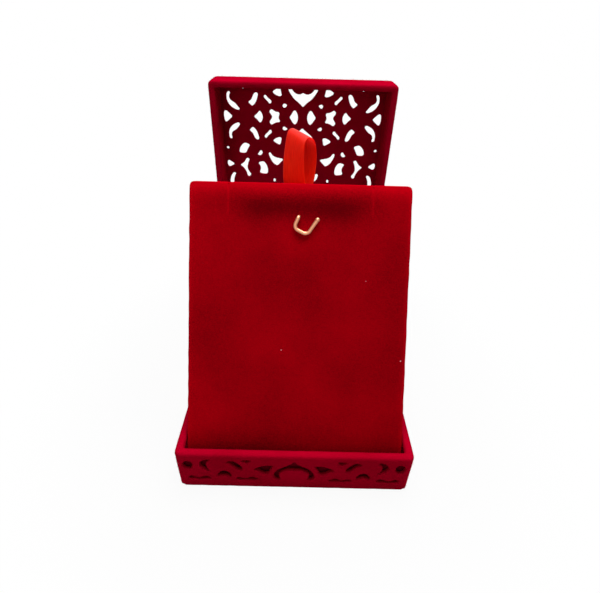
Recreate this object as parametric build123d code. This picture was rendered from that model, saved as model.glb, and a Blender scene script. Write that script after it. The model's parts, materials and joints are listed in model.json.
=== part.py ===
from build123d import *
import os

# Flocked jewellery presentation box: a shallow tray with cut-work walls, a lid with a
# cut-work panel, and a velvet display card that folds down into the tray.
# Millimetres, +Z up, X across, the front wall at -Y, the origin at the middle of the
# underside. The lid stands open and the card is raised.

# ---- Driving dimensions ------------------------------------------------------------
WIDTH = 71.2  # outside, across
DEPTH = 90.0  # outside, front to rear
BASE_HEIGHT = 16.0  # underside to the tray's rim
LID_HEIGHT = 12.4  # lid rim to the lid's outer face
WALL = 2.4  # wall at the rims of tray and lid
SKIN = 1.4  # cut-work skin of the tray, with the liner behind it
RIM_BAND = 2.0  # solid band under the tray's rim
LOW_BORDER = 3.0  # solid band above the underside
CORNER_RADIUS = 1.7
INNER_CORNER_RADIUS = 0.5
RIM_FILLET = 0.9
FILLET_SHARE = 0.45  # most of a wall or plate that its edge radius may take
RIM_GAP = 0.1  # flock nap between the closed rims
BOTTOM_BOARD = 1.6
FLOOR_PAD = 0.8
LID_PLATE = 1.4
LID_OPEN = 88.9  # degrees from closed
LID_EDGE_FILLET = 0.6

PIN_RADIUS = 0.6
PIN_CLEARANCE = 0.05
KNUCKLE_RADIUS = 1.35
KNUCKLE_RELIEF = 0.3  # running gap round a knuckle
KNUCKLE_SIDE_GAP = 0.25
HINGE_LENGTH = 36.0
KNUCKLE_COUNT = 5  # odd: the tray has the outer ones

CARD_ANGLE = 62.8  # degrees above the tray
CARD_FACE_HEIGHT = 10.6  # velvet face above the underside when folded down
CARD_SIDE_GAP = 0.4
CARD_FRONT_GAP = 0.6
CARD_REAR_GAP = 1.1
CARD_CORNER = 1.0
VELVET = 0.8
BOARD = 1.5
BACKING = 0.3
CREASE_GAP = 0.1  # bare edge of the card beside its crease
REST_GAP = 0.1  # under the folded card
SLIT_OFFSET = 21.3  # chain slits, from the middle
SLIT_LENGTH = 9.0
SLIT_WIDTH = 0.8

FLANGE_THICKNESS = 2.2
REST_DEPTH = 4.0
CREASE_CLOTH_GAP = 0.3

WIRE_RADIUS = 0.6
HOOK_TIP_RADIUS = 0.75
HOOK_TIP_LIFT = 0.3  # the tip stands this much further out
HOOK_STANDOFF = 0.4  # gap between the wire and the velvet
HOOK_TAIL = 5.0
HOOK_X = -0.5
HOOK_DROP = 9.7  # from the card's top edge to the wire's hole
HOOK_SHANK_BEND = 0.65  # bend radius where the wire passes the card
HOOK_BEND = 1.5  # bend radius of the U
HOOK_HEEL = (-1.4, -3.3)  # the U's points, across and up the card from the hole
HOOK_FOOT = (2.5, -5.3)
HOOK_TIP = (5.5, -0.8)

RIBBON_WIDTH = 7.0
RIBBON_THICKNESS = 0.4
RIBBON_LOOP = 16.0  # above the card's top edge
RIBBON_TAIL = 8.5
RIBBON_BULGE = 1.7  # half of the loop's depth at its widest
RIBBON_BELLY = 0.6  # height of the widest point, as a share of the loop
RIBBON_END_GAP = 0.4  # between the two ends behind the card
PATCH_THICKNESS = 0.3
PATCH_LENGTH = 5.1
PATCH_MARGIN = 2.5

# ---- Sizes worked out from them ----------------------------------------------------
LINER = WALL - SKIN
INNER_WIDTH = WIDTH - 2 * WALL
INNER_DEPTH = DEPTH - 2 * WALL
FLOOR_Z = BOTTOM_BOARD + FLOOR_PAD
HINGE_Y = DEPTH / 2
HINGE_Z = BASE_HEIGHT
CARD_WIDTH = INNER_WIDTH - 2 * CARD_SIDE_GAP
CARD_LENGTH = INNER_DEPTH - CARD_FRONT_GAP - CARD_REAR_GAP
CARD_THICKNESS = VELVET + BOARD + BACKING
CREASE_Y = -INNER_DEPTH / 2 + CARD_FRONT_GAP
REST_TOP = CARD_FACE_HEIGHT - CARD_THICKNESS - REST_GAP
RIBBON_STACK = 2 * RIBBON_THICKNESS + RIBBON_END_GAP
FOLD_PLACE = Pos(0, CREASE_Y, CARD_FACE_HEIGHT) * Rot(CARD_ANGLE, 0, 0)
OPEN_PLACE = Pos(0, HINGE_Y, HINGE_Z) * Rot(-LID_OPEN, 0, 0) * Pos(0, -HINGE_Y, -HINGE_Z)

# ---- Cut-work patterns -------------------------------------------------------------
# An outline is a list of sides. A side starts at a corner and passes its other points
# smoothly to the next side's corner. Each is drawn for one half of its panel.

# Lid panel, x from the middle and y from the middle, on a panel of this half size.
LID_DRAWN = (32.6, 42.6)
# The unit above this line is mirrored below it, and the whole panel about y = 0.
LID_UNIT_MIDDLE = 29.8

LID_UNIT_MIRRORED = [
    [[(0, 34.1), (1.6, 35.7), (3.4, 37.2), (4.9, 39.2), (5.7, 41.2)],
     [(5.3, 41.8), (4.7, 40.9), (3.6, 39.5), (2.0, 38.8)],
     [(0, 39.4)]],
    [[(9.2, 41.4)], [(12.2, 39.7), (10.6, 38.5)], [(8.5, 38.1), (8.9, 39.6)]],
    [[(15.2, 38.9), (15.6, 37.9), (14.1, 36.1)],
     [(13.4, 34.7), (12.8, 35.6)],
     [(12.9, 36.4), (13.9, 37.1), (14.7, 38.0)]],
    [[(5.8, 34.8)], [(8.0, 35.2)], [(8.0, 33.2)]],
    [[(18.0, 39.1), (19.2, 39.0), (20.2, 37.2)],
     [(22.3, 35.9), (21.3, 34.9)],
     [(20.4, 34.1), (19.2, 35.4), (18.4, 37.3)]],
    [[(28.2, 39.6), (29.9, 39.2), (30.4, 37.4), (29.8, 35.0), (28.0, 33.1)],
     [(25.1, 32.3), (26.4, 33.9), (27.6, 35.2), (29.2, 36.3), (29.5, 37.8), (29.0, 39.0)]],
]
LID_UNIT_WHOLE = [
    [[(3.3, 33.0), (2.0, 29.8)], [(3.2, 26.6), (4.2, 28.2)], [(5.3, 29.8), (4.2, 31.4)]],
    [[(8.7, 32.1), (10.8, 31.9)],
     [(12.6, 33.0), (13.3, 31.6), (12.3, 29.8), (13.3, 28.0)],
     [(12.6, 26.6), (10.8, 27.7)],
     [(8.7, 27.5), (9.9, 29.8)]],
    [[(17.5, 32.4), (18.5, 30.9)], [(20.3, 29.8), (18.5, 28.7)], [(17.5, 27.2), (16.4, 29.8)]],
    [[(28.5, 29.8)], [(31.5, 32.4), (31.9, 29.8)], [(31.5, 27.2)]],
]
LID_EDGE_CUTS = [
    [[(21.5, 42.2)], [(25.2, 42.2)], [(24.0, 40.5)]],
]
LID_MIDDLE_CUTS = [
    [[(13.9, 17.0), (14.1, 14.9), (13.2, 11.9), (11.8, 9.9)],
     [(10.3, 9.1), (9.2, 10.4)],
     [(7.2, 12.2), (9.6, 12.3), (12.2, 13.2), (13.4, 14.8)]],
    [[(17.3, 16.8), (17.8, 15.1)], [(18.8, 13.9), (17.8, 13.5), (16.9, 14.4), (16.9, 15.6)]],
    [[(16.4, 10.8)],
     [(19.0, 10.1), (17.6, 8.2)],
     [(18.3, 5.4)],
     [(15.0, 5.0), (14.7, 7.3), (15.3, 9.4)]],
    [[(21.9, 18.2)], [(24.2, 18.7), (25.8, 17.1)], [(26.5, 14.4)], [(23.9, 14.4), (23.2, 16.0)]],
    [[(31.8, 17.5)], [(31.8, 15.9)], [(30.4, 16.5)]],
    [[(28.8, 9.2), (30.3, 10.4)], [(31.5, 11.1), (31.9, 9.5)], [(31.4, 7.9), (30.2, 8.6)]],
    [[(22.3, 11.9)],
     [(23.6, 12.1), (24.6, 10.3)],
     [(26.6, 8.9), (25.1, 7.7), (24.0, 6.0)],
     [(23.4, 3.9), (22.8, 3.7), (22.2, 4.7), (23.1, 6.3), (23.5, 8.5), (23.0, 10.6)]],
    [[(7.4, 5.6), (5.4, 4.8), (4.1, 3.4), (4.5, 2.2), (6.2, 2.2), (7.0, 3.6)]],
]
LID_CENTRE_CUTS = [
    [[(28.1, 5.5), (29.6, 5.1), (30.9, 3.0), (31.3, 0.0), (30.9, -3.0), (29.6, -5.1)],
     [(28.1, -5.5), (29.4, -3.6), (29.9, 0.0), (29.4, 3.6)]],
    [[(10.7, 6.1), (11.9, 3.2), (12.3, 0.0), (11.9, -3.2)],
     [(10.7, -6.1), (11.2, -3.2), (11.5, 0.0), (11.2, 3.2)]],
]

# Tray wall, x from the middle and height from the underside, on a wall of this half
# width and between these heights.
WALL_DRAWN_HALF = 35.0
WALL_DRAWN_LOW = 3.0
WALL_DRAWN_HIGH = 14.0
WALL_CUTS = [
    [[(0, 13.6), (1.4, 11.9), (4.0, 10.0), (5.8, 7.6), (6.1, 5.4)],
     [(5.2, 3.5), (4.0, 4.3), (4.6, 6.2), (3.2, 8.2), (1.3, 8.9)],
     [(0, 8.6)]],
    [[(5.9, 11.4), (8.6, 11.3), (11.2, 9.9)],
     [(12.8, 7.4), (10.6, 8.3), (9.2, 6.8)],
     [(7.6, 6.8), (7.0, 8.8)]],
    [[(12.4, 13.7)], [(15.8, 13.7), (14.9, 12.7)], [(13.9, 12.0), (13.1, 12.8)]],
    [[(15.4, 8.2), (16.0, 11.2), (18.0, 13.2)], [(20.6, 12.1), (18.9, 11.6), (17.6, 9.8)]],
    [[(19.0, 4.4), (19.4, 7.2), (20.8, 8.3), (22.3, 7.2)], [(23.4, 4.4), (21.6, 5.4)]],
    [[(24.0, 13.7), (26.6, 13.4), (28.0, 11.2), (27.2, 8.9)],
     [(24.4, 7.7), (25.7, 9.3), (26.1, 11.0), (25.4, 12.6)]],
    [[(31.2, 12.9), (32.8, 11.8), (32.8, 9.4)], [(31.3, 8.0), (30.3, 9.4), (30.1, 11.6)]],
    [[(9.0, 3.4)], [(17.6, 3.4), (16.4, 5.0), (14.6, 4.3), (12.8, 5.2), (10.8, 4.3)]],
    [[(24.8, 3.4)], [(32.2, 3.4), (30.6, 5.2), (28.8, 4.3), (26.6, 5.2)]],
]


def cut_face(outline, place):
    """Make one hole's face, with each drawn point moved by place(x, y)."""
    corners = [side[0] for side in outline]
    edges = []
    for side, end in zip(outline, corners[1:] + corners[:1]):
        points = [place(x, y) for x, y in side + [end]]
        edges.append(Line(*points) if len(points) == 2 else Spline(*points))
    return make_face(edges)


def slab(width, depth, height, radius, z):
    """Make a flat plate with its underside at z, with square corners if radius is 0."""
    outline = RectangleRounded(width, depth, radius) if radius else Rectangle(width, depth)
    return Pos(0, 0, z) * extrude(outline, height)


def wall_ring(height, z):
    """Make four plain walls, WALL thick."""
    outside = slab(WIDTH, DEPTH, height, CORNER_RADIUS, z)
    return outside - slab(INNER_WIDTH, INNER_DEPTH, height, INNER_CORNER_RADIUS, z)


def rim_fillet():
    """Return the rim's edge radius, kept inside the wall."""
    return min(RIM_FILLET, FILLET_SHARE * WALL)


def across(radius, start, stop):
    """Make a cylinder along the hinge axis from x = start to x = stop."""
    middle = (start + stop) / 2
    return Pos(middle, HINGE_Y, HINGE_Z) * Rot(0, 90, 0) * Cylinder(radius, stop - start)


def knuckle_spans(own):
    """List the x ranges of the tray's knuckles (own = 0) or the lid's (own = 1)."""
    pitch = HINGE_LENGTH / KNUCKLE_COUNT
    starts = [-HINGE_LENGTH / 2 + pitch * index for index in range(own, KNUCKLE_COUNT, 2)]
    return [(start, start + pitch) for start in starts]


def add_knuckles(walls, own):
    """Give walls their own knuckles, clear the other side's, and bore for the pin."""
    for start, stop in knuckle_spans(1 - own):
        walls -= across(KNUCKLE_RADIUS + KNUCKLE_RELIEF, start, stop)
    gap = KNUCKLE_SIDE_GAP / 2
    for start, stop in knuckle_spans(own):
        walls += across(KNUCKLE_RADIUS, start + gap, stop - gap)
    return walls - across(PIN_RADIUS + PIN_CLEARANCE, -HINGE_LENGTH / 2, HINGE_LENGTH / 2)


def wall_cutters(plane, half_width):
    """Make the cutters of one tray wall, drawn on plane and stretched to its width."""
    high = BASE_HEIGHT - RIM_BAND
    lift = (high - LOW_BORDER) / (WALL_DRAWN_HIGH - WALL_DRAWN_LOW)
    cutters = []
    for outline in WALL_CUTS:
        for side in (1, -1):
            stretch = side * half_width / WALL_DRAWN_HALF
            face = cut_face(
                outline,
                lambda x, y: (stretch * x, LOW_BORDER + (y - WALL_DRAWN_LOW) * lift),
            )
            cutters.append(extrude(plane * face, SKIN + LINER / 2, both=True))
    return cutters


def base_frame():
    """Moulded tray walls, cut through at the front and sides and plain at the rear."""
    frame = wall_ring(BASE_HEIGHT, 0)
    frame = fillet(frame.edges().group_by(Axis.Z)[-1], rim_fillet())
    pocket_height = BASE_HEIGHT - RIM_BAND
    frame -= slab(WIDTH - 2 * SKIN, DEPTH - 2 * SKIN, pocket_height, 0, 0)
    front = Plane(origin=(0, -DEPTH / 2, 0), x_dir=(1, 0, 0), z_dir=(0, -1, 0))
    left = Plane(origin=(-WIDTH / 2, 0, 0), x_dir=(0, -1, 0), z_dir=(-1, 0, 0))
    right = Plane(origin=(WIDTH / 2, 0, 0), x_dir=(0, 1, 0), z_dir=(1, 0, 0))
    frame -= wall_cutters(front, WIDTH / 2)
    frame -= wall_cutters(left, DEPTH / 2)
    frame -= wall_cutters(right, DEPTH / 2)
    return add_knuckles(frame, 0)


def base_liner():
    """Flocked sleeve behind the cut-work walls."""
    height = BASE_HEIGHT - RIM_BAND - BOTTOM_BOARD
    sleeve = slab(WIDTH - 2 * SKIN, DEPTH - 2 * SKIN, height, 0, BOTTOM_BOARD)
    return sleeve - slab(INNER_WIDTH, INNER_DEPTH, height, 0, BOTTOM_BOARD)


def base_bottom():
    """Board that closes the tray from below."""
    return slab(WIDTH - 2 * SKIN, DEPTH - 2 * SKIN, BOTTOM_BOARD, 0, 0)


def base_floor_pad():
    """Flocked card on the tray's floor."""
    return slab(INNER_WIDTH, INNER_DEPTH, FLOOR_PAD, 0, BOTTOM_BOARD)


def standing_strip(front, rear, top):
    """Make a strip across the tray, from the floor pad to top."""
    height = top - FLOOR_Z
    return Pos(0, (front + rear) / 2, FLOOR_Z + height / 2) * Box(INNER_WIDTH, rear - front, height)


def crease_cloth():
    """Velvet glued between the tray's front wall and the flange, up to the crease."""
    return standing_strip(-INNER_DEPTH / 2, CREASE_Y, CARD_FACE_HEIGHT - CREASE_CLOTH_GAP)


def card_flange():
    """Front flange that the card is creased from."""
    return standing_strip(CREASE_Y, CREASE_Y + FLANGE_THICKNESS, REST_TOP)


def card_rest():
    """Strip at the rear that the folded card lies on."""
    return standing_strip(INNER_DEPTH / 2 - REST_DEPTH, INNER_DEPTH / 2, REST_TOP)


def lid_frame():
    """Four plain lid walls with the lid's knuckles."""
    low = BASE_HEIGHT + RIM_GAP
    frame = wall_ring(LID_HEIGHT - LID_PLATE - RIM_GAP, low)
    frame = fillet(frame.edges().group_by(Axis.Z)[0], rim_fillet())
    return OPEN_PLACE * add_knuckles(frame, 1)


def lid_cutters():
    """Make the cutters of the lid panel, mirrored to its four quarters."""
    unit_lower = [
        [[(x, 2 * LID_UNIT_MIDDLE - y) for x, y in side] for side in outline]
        for outline in LID_UNIT_MIRRORED
    ]
    quarter = LID_UNIT_MIRRORED + unit_lower + LID_UNIT_WHOLE + LID_EDGE_CUTS + LID_MIDDLE_CUTS
    turns = [(outline, up) for outline in quarter for up in (1, -1)]
    turns += [(outline, 1) for outline in LID_CENTRE_CUTS]
    x_scale = INNER_WIDTH / 2 / LID_DRAWN[0]
    y_scale = INNER_DEPTH / 2 / LID_DRAWN[1]
    cutters = []
    for outline, up in turns:
        for side in (1, -1):
            face = cut_face(outline, lambda x, y: (side * x_scale * x, up * y_scale * y))
            cutters.append(extrude(face, LID_PLATE * 2, both=True))
    return cutters


def lid_panel():
    """Cut-work panel over the lid's walls."""
    low = BASE_HEIGHT + LID_HEIGHT - LID_PLATE
    panel = slab(WIDTH, DEPTH, LID_PLATE, CORNER_RADIUS, low)
    panel = fillet(panel.edges().group_by(Axis.Z)[-1], min(LID_EDGE_FILLET, FILLET_SHARE * LID_PLATE))
    panel -= [Pos(0, 0, low) * cutter for cutter in lid_cutters()]
    return OPEN_PLACE * panel


def hinge_pin():
    """Steel pin through all the knuckles."""
    return across(PIN_RADIUS, -HINGE_LENGTH / 2, HINGE_LENGTH / 2)


def card_layer(top, thickness):
    """Make one layer of the card in the card's frame, with its slits and wire hole.

    The card's frame has its crease along X, +Y up the card and +Z out of its face.
    """
    length = CARD_LENGTH - CREASE_GAP
    outline = Rectangle(CARD_WIDTH, length)
    free_corners = outline.vertices().group_by(Axis.Y)[-1]
    outline = fillet(free_corners, CARD_CORNER)
    middle = CREASE_GAP + length / 2
    layer = Pos(0, middle, top - thickness) * extrude(outline, thickness)
    for side in (1, -1):
        slit = Box(SLIT_WIDTH, SLIT_LENGTH, 2 * CARD_THICKNESS)
        layer -= Pos(side * SLIT_OFFSET, CARD_LENGTH - SLIT_LENGTH / 2, top) * slit
    wire_hole = Cylinder(WIRE_RADIUS, 4 * CARD_THICKNESS)
    return layer - Pos(HOOK_X, CARD_LENGTH - HOOK_DROP, top) * wire_hole


def card_velvet():
    """Velvet face of the card."""
    return FOLD_PLACE * card_layer(0, VELVET)


def card_board():
    """Stiff core of the card."""
    return FOLD_PLACE * card_layer(-VELVET, BOARD)


def card_backing():
    """Paper on the card's rear."""
    return FOLD_PLACE * card_layer(-VELVET - BOARD, BACKING)


def pendant_hook():
    """Gold wire: a tail behind the card, a shank through it and a U on its face."""
    behind = -CARD_THICKNESS - WIRE_RADIUS
    front = HOOK_STANDOFF + WIRE_RADIUS
    hole = CARD_LENGTH - HOOK_DROP
    points = [
        (HOOK_X, hole - HOOK_TAIL, behind),
        (HOOK_X, hole, behind),
        (HOOK_X, hole, front),
        (HOOK_X + HOOK_HEEL[0], hole + HOOK_HEEL[1], front),
        (HOOK_X + HOOK_FOOT[0], hole + HOOK_FOOT[1], front),
        (HOOK_X + HOOK_TIP[0], hole + HOOK_TIP[1], front + HOOK_TIP_LIFT),
    ]
    bends = [HOOK_SHANK_BEND, HOOK_SHANK_BEND, HOOK_BEND, HOOK_BEND]
    path = FilletPolyline(*points, radius=bends)
    wire = sweep(Plane(origin=path @ 0, z_dir=path % 0) * Circle(WIRE_RADIUS), path)
    return FOLD_PLACE * (wire + Pos(*points[-1]) * Sphere(HOOK_TIP_RADIUS))


def ribbon_outline(inset):
    """Make the ribbon loop's side outline, inset all round, with y up the card."""
    near = -CARD_THICKNESS - inset
    far = -CARD_THICKNESS - RIBBON_STACK + inset
    middle = (near + far) / 2
    low = CARD_LENGTH - RIBBON_TAIL + inset
    edge = CARD_LENGTH
    high = CARD_LENGTH + RIBBON_LOOP - inset
    bulge = RIBBON_BULGE - inset
    belly = edge + RIBBON_BELLY * RIBBON_LOOP
    loop = [(edge, near), (belly, middle + bulge), (high, middle), (belly, middle - bulge), (edge, far)]
    return make_face([
        Line((low, far), (low, near)),
        Line((low, near), (edge, near)),
        Spline(*loop),
        Line((edge, far), (low, far)),
    ])


def pull_ribbon():
    """Satin loop glued behind the card's top edge."""
    side_view = Plane(origin=(-RIBBON_WIDTH / 2, 0, 0), x_dir=(0, 1, 0), z_dir=(1, 0, 0))
    band = extrude(side_view * ribbon_outline(0), RIBBON_WIDTH)
    band -= extrude(side_view * ribbon_outline(RIBBON_THICKNESS), RIBBON_WIDTH)
    return FOLD_PLACE * band


def ribbon_patch():
    """Paper patch glued over the ribbon's ends."""
    width = RIBBON_WIDTH + 2 * PATCH_MARGIN
    rear = -CARD_THICKNESS - RIBBON_STACK
    patch = Box(width, PATCH_LENGTH, PATCH_THICKNESS)
    middle = CARD_LENGTH - RIBBON_TAIL + PATCH_LENGTH / 2
    return FOLD_PLACE * Pos(0, middle, rear - PATCH_THICKNESS / 2) * patch


NODES = {
    "base_frame": base_frame,
    "base_liner": base_liner,
    "base_bottom": base_bottom,
    "base_floor_pad": base_floor_pad,
    "crease_cloth": crease_cloth,
    "card_flange": card_flange,
    "card_rest": card_rest,
    "hinge_pin": hinge_pin,
    "lid_frame": lid_frame,
    "lid_panel": lid_panel,
    "card_velvet": card_velvet,
    "card_board": card_board,
    "card_backing": card_backing,
    "pendant_hook": pendant_hook,
    "pull_ribbon": pull_ribbon,
    "ribbon_patch": ribbon_patch,
}


def main():
    """Write one STEP file for each node."""
    os.makedirs("parts", exist_ok=True)
    for name, make in NODES.items():
        export_step(make(), f"parts/{name}.step")


main()
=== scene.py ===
"""Looks of a flocked presentation box: tray, cut-work lid, velvet card, hook and ribbon.

Everything is in metres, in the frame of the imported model: +Z up, X across, the tray's front
wall at -Y. The lid stands open and the display card leans up out of the tray.
"""
import json
import logging
import math
from dataclasses import dataclass, field
from enum import Enum

import bmesh
import bpy
from mathutils import Matrix, Vector, noise


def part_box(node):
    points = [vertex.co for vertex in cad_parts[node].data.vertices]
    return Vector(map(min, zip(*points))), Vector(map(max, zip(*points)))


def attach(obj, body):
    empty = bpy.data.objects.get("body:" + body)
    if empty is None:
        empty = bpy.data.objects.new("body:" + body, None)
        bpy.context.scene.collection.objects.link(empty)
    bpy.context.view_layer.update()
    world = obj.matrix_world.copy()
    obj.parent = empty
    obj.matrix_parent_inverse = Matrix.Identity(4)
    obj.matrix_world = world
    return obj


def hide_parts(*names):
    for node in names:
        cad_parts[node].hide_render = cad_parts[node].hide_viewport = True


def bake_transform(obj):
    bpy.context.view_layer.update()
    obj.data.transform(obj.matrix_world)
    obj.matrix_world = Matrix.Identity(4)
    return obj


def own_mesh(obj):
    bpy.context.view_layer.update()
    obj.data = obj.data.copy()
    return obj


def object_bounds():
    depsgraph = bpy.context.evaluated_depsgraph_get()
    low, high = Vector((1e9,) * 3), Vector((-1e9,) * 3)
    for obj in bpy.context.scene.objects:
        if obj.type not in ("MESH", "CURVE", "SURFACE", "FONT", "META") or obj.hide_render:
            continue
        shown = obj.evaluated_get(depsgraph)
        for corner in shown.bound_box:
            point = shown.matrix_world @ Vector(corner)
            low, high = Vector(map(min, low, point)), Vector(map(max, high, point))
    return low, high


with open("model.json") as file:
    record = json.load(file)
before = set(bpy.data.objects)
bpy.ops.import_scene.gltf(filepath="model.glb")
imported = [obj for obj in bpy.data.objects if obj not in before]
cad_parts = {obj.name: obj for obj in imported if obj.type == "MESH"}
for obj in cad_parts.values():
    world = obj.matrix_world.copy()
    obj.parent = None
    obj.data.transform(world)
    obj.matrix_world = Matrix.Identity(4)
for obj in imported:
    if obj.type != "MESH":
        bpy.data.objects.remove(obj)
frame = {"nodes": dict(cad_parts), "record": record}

CAD_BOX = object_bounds()
MM = 0.001
WELD_MM = 0.001
PAINTED_SHADING = "painted_shading"  # The attribute of painted shade on a pile; below 0 it holds painted highlight.
LOG = logging.getLogger("box")


# ---- Small helpers -----------------------------------------------------------------

def linear(hex_colour: str) -> tuple[float, float, float, float]:
    """Turn an sRGB hex colour into linear RGBA.

    Args:
        hex_colour: Six hex digits, such as "B01020".

    Returns:
        The linear colour with an alpha of 1.
    """
    channels = [int(hex_colour[place:place + 2], 16) / 255 for place in (0, 2, 4)]
    decoded = [c / 12.92 if c <= 0.04045 else ((c + 0.055) / 1.055) ** 2.4 for c in channels]
    return (*decoded, 1.0)


def joint_record(name: str) -> dict:
    """Return one joint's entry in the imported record."""
    joints = frame["record"]["behaviour"]["joints"]
    return next(joint for joint in joints if joint["name"] == name)


def new_piece(name: str, mesh: bpy.types.Mesh) -> bpy.types.Object:
    """Link a mesh into the scene as a piece at the origin."""
    piece = bpy.data.objects.new(name, mesh)
    bpy.context.scene.collection.objects.link(piece)
    return piece


def mesh_from(name: str, points: list[Vector], faces: list[list[int]]) -> bpy.types.Mesh:
    """Make a smooth-shaded mesh whose faces point outwards.

    Args:
        name: The mesh's name.
        points: Its corners, in metres.
        faces: Its faces, as lists of corner numbers.

    Returns:
        The mesh.
    """
    mesh = bpy.data.meshes.new(name)
    mesh.from_pydata([tuple(point) for point in points], [], faces)
    work = bmesh.new()
    work.from_mesh(mesh)
    bmesh.ops.recalc_face_normals(work, faces=work.faces)
    work.to_mesh(mesh)
    work.free()
    mesh.shade_smooth()
    return mesh


def grid_faces(wide: int, tall: int, first: int = 0) -> list[list[int]]:
    """List the four-sided faces between the points of a grid.

    Args:
        wide: Points in a row.
        tall: Rows.
        first: Number of the grid's first point.

    Returns:
        The faces, as lists of corner numbers.
    """
    corners = (0, 1, wide + 1, wide)
    return [[first + r * wide + c + corner for corner in corners]
            for r in range(tall - 1) for c in range(wide - 1)]


def grid_rim(wide: int, tall: int) -> list[tuple[int, int]]:
    """List the (row, column) places round a grid's rim, once round from its first point."""
    rim = [(0, c) for c in range(wide)] + [(r, wide - 1) for r in range(1, tall)]
    rim += [(tall - 1, c) for c in range(wide - 2, -1, -1)]
    return rim + [(r, 0) for r in range(tall - 2, 0, -1)]


def bake_modifiers(piece: bpy.types.Object) -> None:
    """Apply every modifier of a piece to its mesh."""
    depsgraph = bpy.context.evaluated_depsgraph_get()
    baked = bpy.data.meshes.new_from_object(piece.evaluated_get(depsgraph))
    piece.modifiers.clear()
    piece.data = baked
    piece.data.shade_smooth()


def smoothstep(low: float, high: float, value: float) -> float:
    """Rise smoothly from 0 at low to 1 at high."""
    share = min(max((value - low) / (high - low), 0.0), 1.0)
    return share * share * (3 - 2 * share)


# ---- Materials ---------------------------------------------------------------------

class Graph:
    """A node tree, built one node at a time."""

    def __init__(self, tree: bpy.types.NodeTree, prefix: str = "ShaderNode") -> None:
        """Take the tree, and what the type names of its nodes start with."""
        self.tree = tree
        self.prefix = prefix

    def add(self, kind: str, settings: dict | None = None, **links: object) -> bpy.types.Node:
        """Add a node, set its properties, and fill its inputs.

        Args:
            kind: The node's type name without the tree's prefix.
            settings: Properties of the node.
            **links: What goes into its inputs, as for fill().

        Returns:
            The node.
        """
        node = self.tree.nodes.new(self.prefix + kind)
        for key, value in (settings or {}).items():
            setattr(node, key, value)
        self.fill(node, **links)
        return node

    def fill(self, node: bpy.types.Node, **links: object) -> None:
        """Fill inputs of a node.

        Args:
            node: The node.
            **links: An output socket or a value for each input, by the input's name with _ for
                a space, or by its number after a _.
        """
        for key, value in links.items():
            number = key.removeprefix("_")
            socket = node.inputs[int(number) if number.isdigit() else key.replace("_", " ")]
            if isinstance(value, bpy.types.NodeSocket):
                self.tree.links.new(value, socket)
            else:
                socket.default_value = value


class Surface(Graph):
    """A material's node tree, which starts with a Principled shader."""

    def __init__(self, name: str) -> None:
        """Start a new material."""
        self.material = bpy.data.materials.new(name)
        self.material.use_nodes = True
        super().__init__(self.material.node_tree)
        self.shader = self.tree.nodes["Principled BSDF"]


def coloured(ramp: bpy.types.Node, *stops: tuple[float, str]) -> bpy.types.NodeSocket:
    """Give a colour ramp's two ends their places and hex colours, and return its colour."""
    for element, (place, colour) in zip(ramp.color_ramp.elements, stops):
        element.position = place
        element.color = linear(colour)
    return ramp.outputs["Color"]


@dataclass(frozen=True)
class Pile:
    """A short upright pile: electrostatic flock, or a woven velvet's.

    The fibre tips scatter light at grazing angles, which gives the eye a bright rim on every
    rounded edge; soft patches shift the colour at random, and a point attribute can paint shade
    and highlight onto a pile.
    """

    name: str
    deep: str
    bright: str
    sheen: float
    sheen_tint: str
    sheen_roughness: float = 0.35
    fibre_mm: float = 0.28
    patch_mm: float = 14.0
    bump: float = 0.45
    relief_mm: float = 0.12
    # Shares of the single fibres and of the soft patches in the mix of deep and bright.
    grain: float = 0.35
    mottle: float = 0.2
    spread: float = 0.13
    # How far one unit of the attribute of painted shade moves the mix towards deep, and painted
    # highlight away from it.
    painted_shading: float = 0.0
    # Side of the cube that holds one speck of lint, and the speck's radius as a share of it.
    lint_mm: float = 0.0
    lint_size: float = 0.022
    lint_colour: str = "D8A0A0"

    def lint(self, graph: Graph, place: bpy.types.NodeSocket,
             colour: bpy.types.NodeSocket) -> bpy.types.NodeSocket:
        """Drop pale specks of lint on a colour, about one in each lint_mm cube."""
        cells = graph.add("TexVoronoi", Vector=place, Scale=1 / (self.lint_mm * MM))
        near = graph.add("Math", {"operation": "LESS_THAN"}, _0=cells.outputs["Distance"],
                         _1=self.lint_size)
        mix = graph.add("MixRGB", Fac=near.outputs[0], Color1=colour,
                        Color2=linear(self.lint_colour))
        return mix.outputs[0]

    def material(self) -> bpy.types.Material:
        """Build the pile's material."""
        graph = Surface(self.name)
        place = graph.add("TexCoord").outputs["Object"]
        fibres = graph.add("TexNoise", Vector=place, Scale=1 / (self.fibre_mm * MM), Detail=3.0,
                           Roughness=0.65).outputs["Fac"]
        patches = graph.add("TexNoise", Vector=place, Scale=1 / (self.patch_mm * MM), Detail=2.0,
                            Roughness=0.5).outputs["Fac"]
        scaled = graph.add("Math", {"operation": "MULTIPLY"}, _0=patches, _1=self.mottle)
        blend = graph.add("Math", {"operation": "MULTIPLY_ADD"}, _0=fibres, _1=self.grain,
                          _2=scaled.outputs[0])
        painted_shading = graph.add("Attribute", {"attribute_name": PAINTED_SHADING})
        lie = graph.add("Math", {"operation": "MULTIPLY_ADD"}, _0=painted_shading.outputs["Fac"],
                        _1=-self.painted_shading, _2=blend.outputs[0])
        middle = (self.grain + self.mottle) / 2
        colour = coloured(graph.add("ValToRGB", Fac=lie.outputs[0]),
                          (middle - self.spread, self.deep), (middle + self.spread, self.bright))
        if self.lint_mm:
            colour = self.lint(graph, place, colour)
        bump = graph.add("Bump", Height=fibres, Strength=self.bump, Distance=self.relief_mm * MM)
        graph.fill(graph.shader, Base_Color=colour, Roughness=0.95, Specular_IOR_Level=0.0,
                   Normal=bump.outputs["Normal"], Sheen_Weight=self.sheen,
                   Sheen_Roughness=self.sheen_roughness, Sheen_Tint=linear(self.sheen_tint))
        return graph.material


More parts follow.
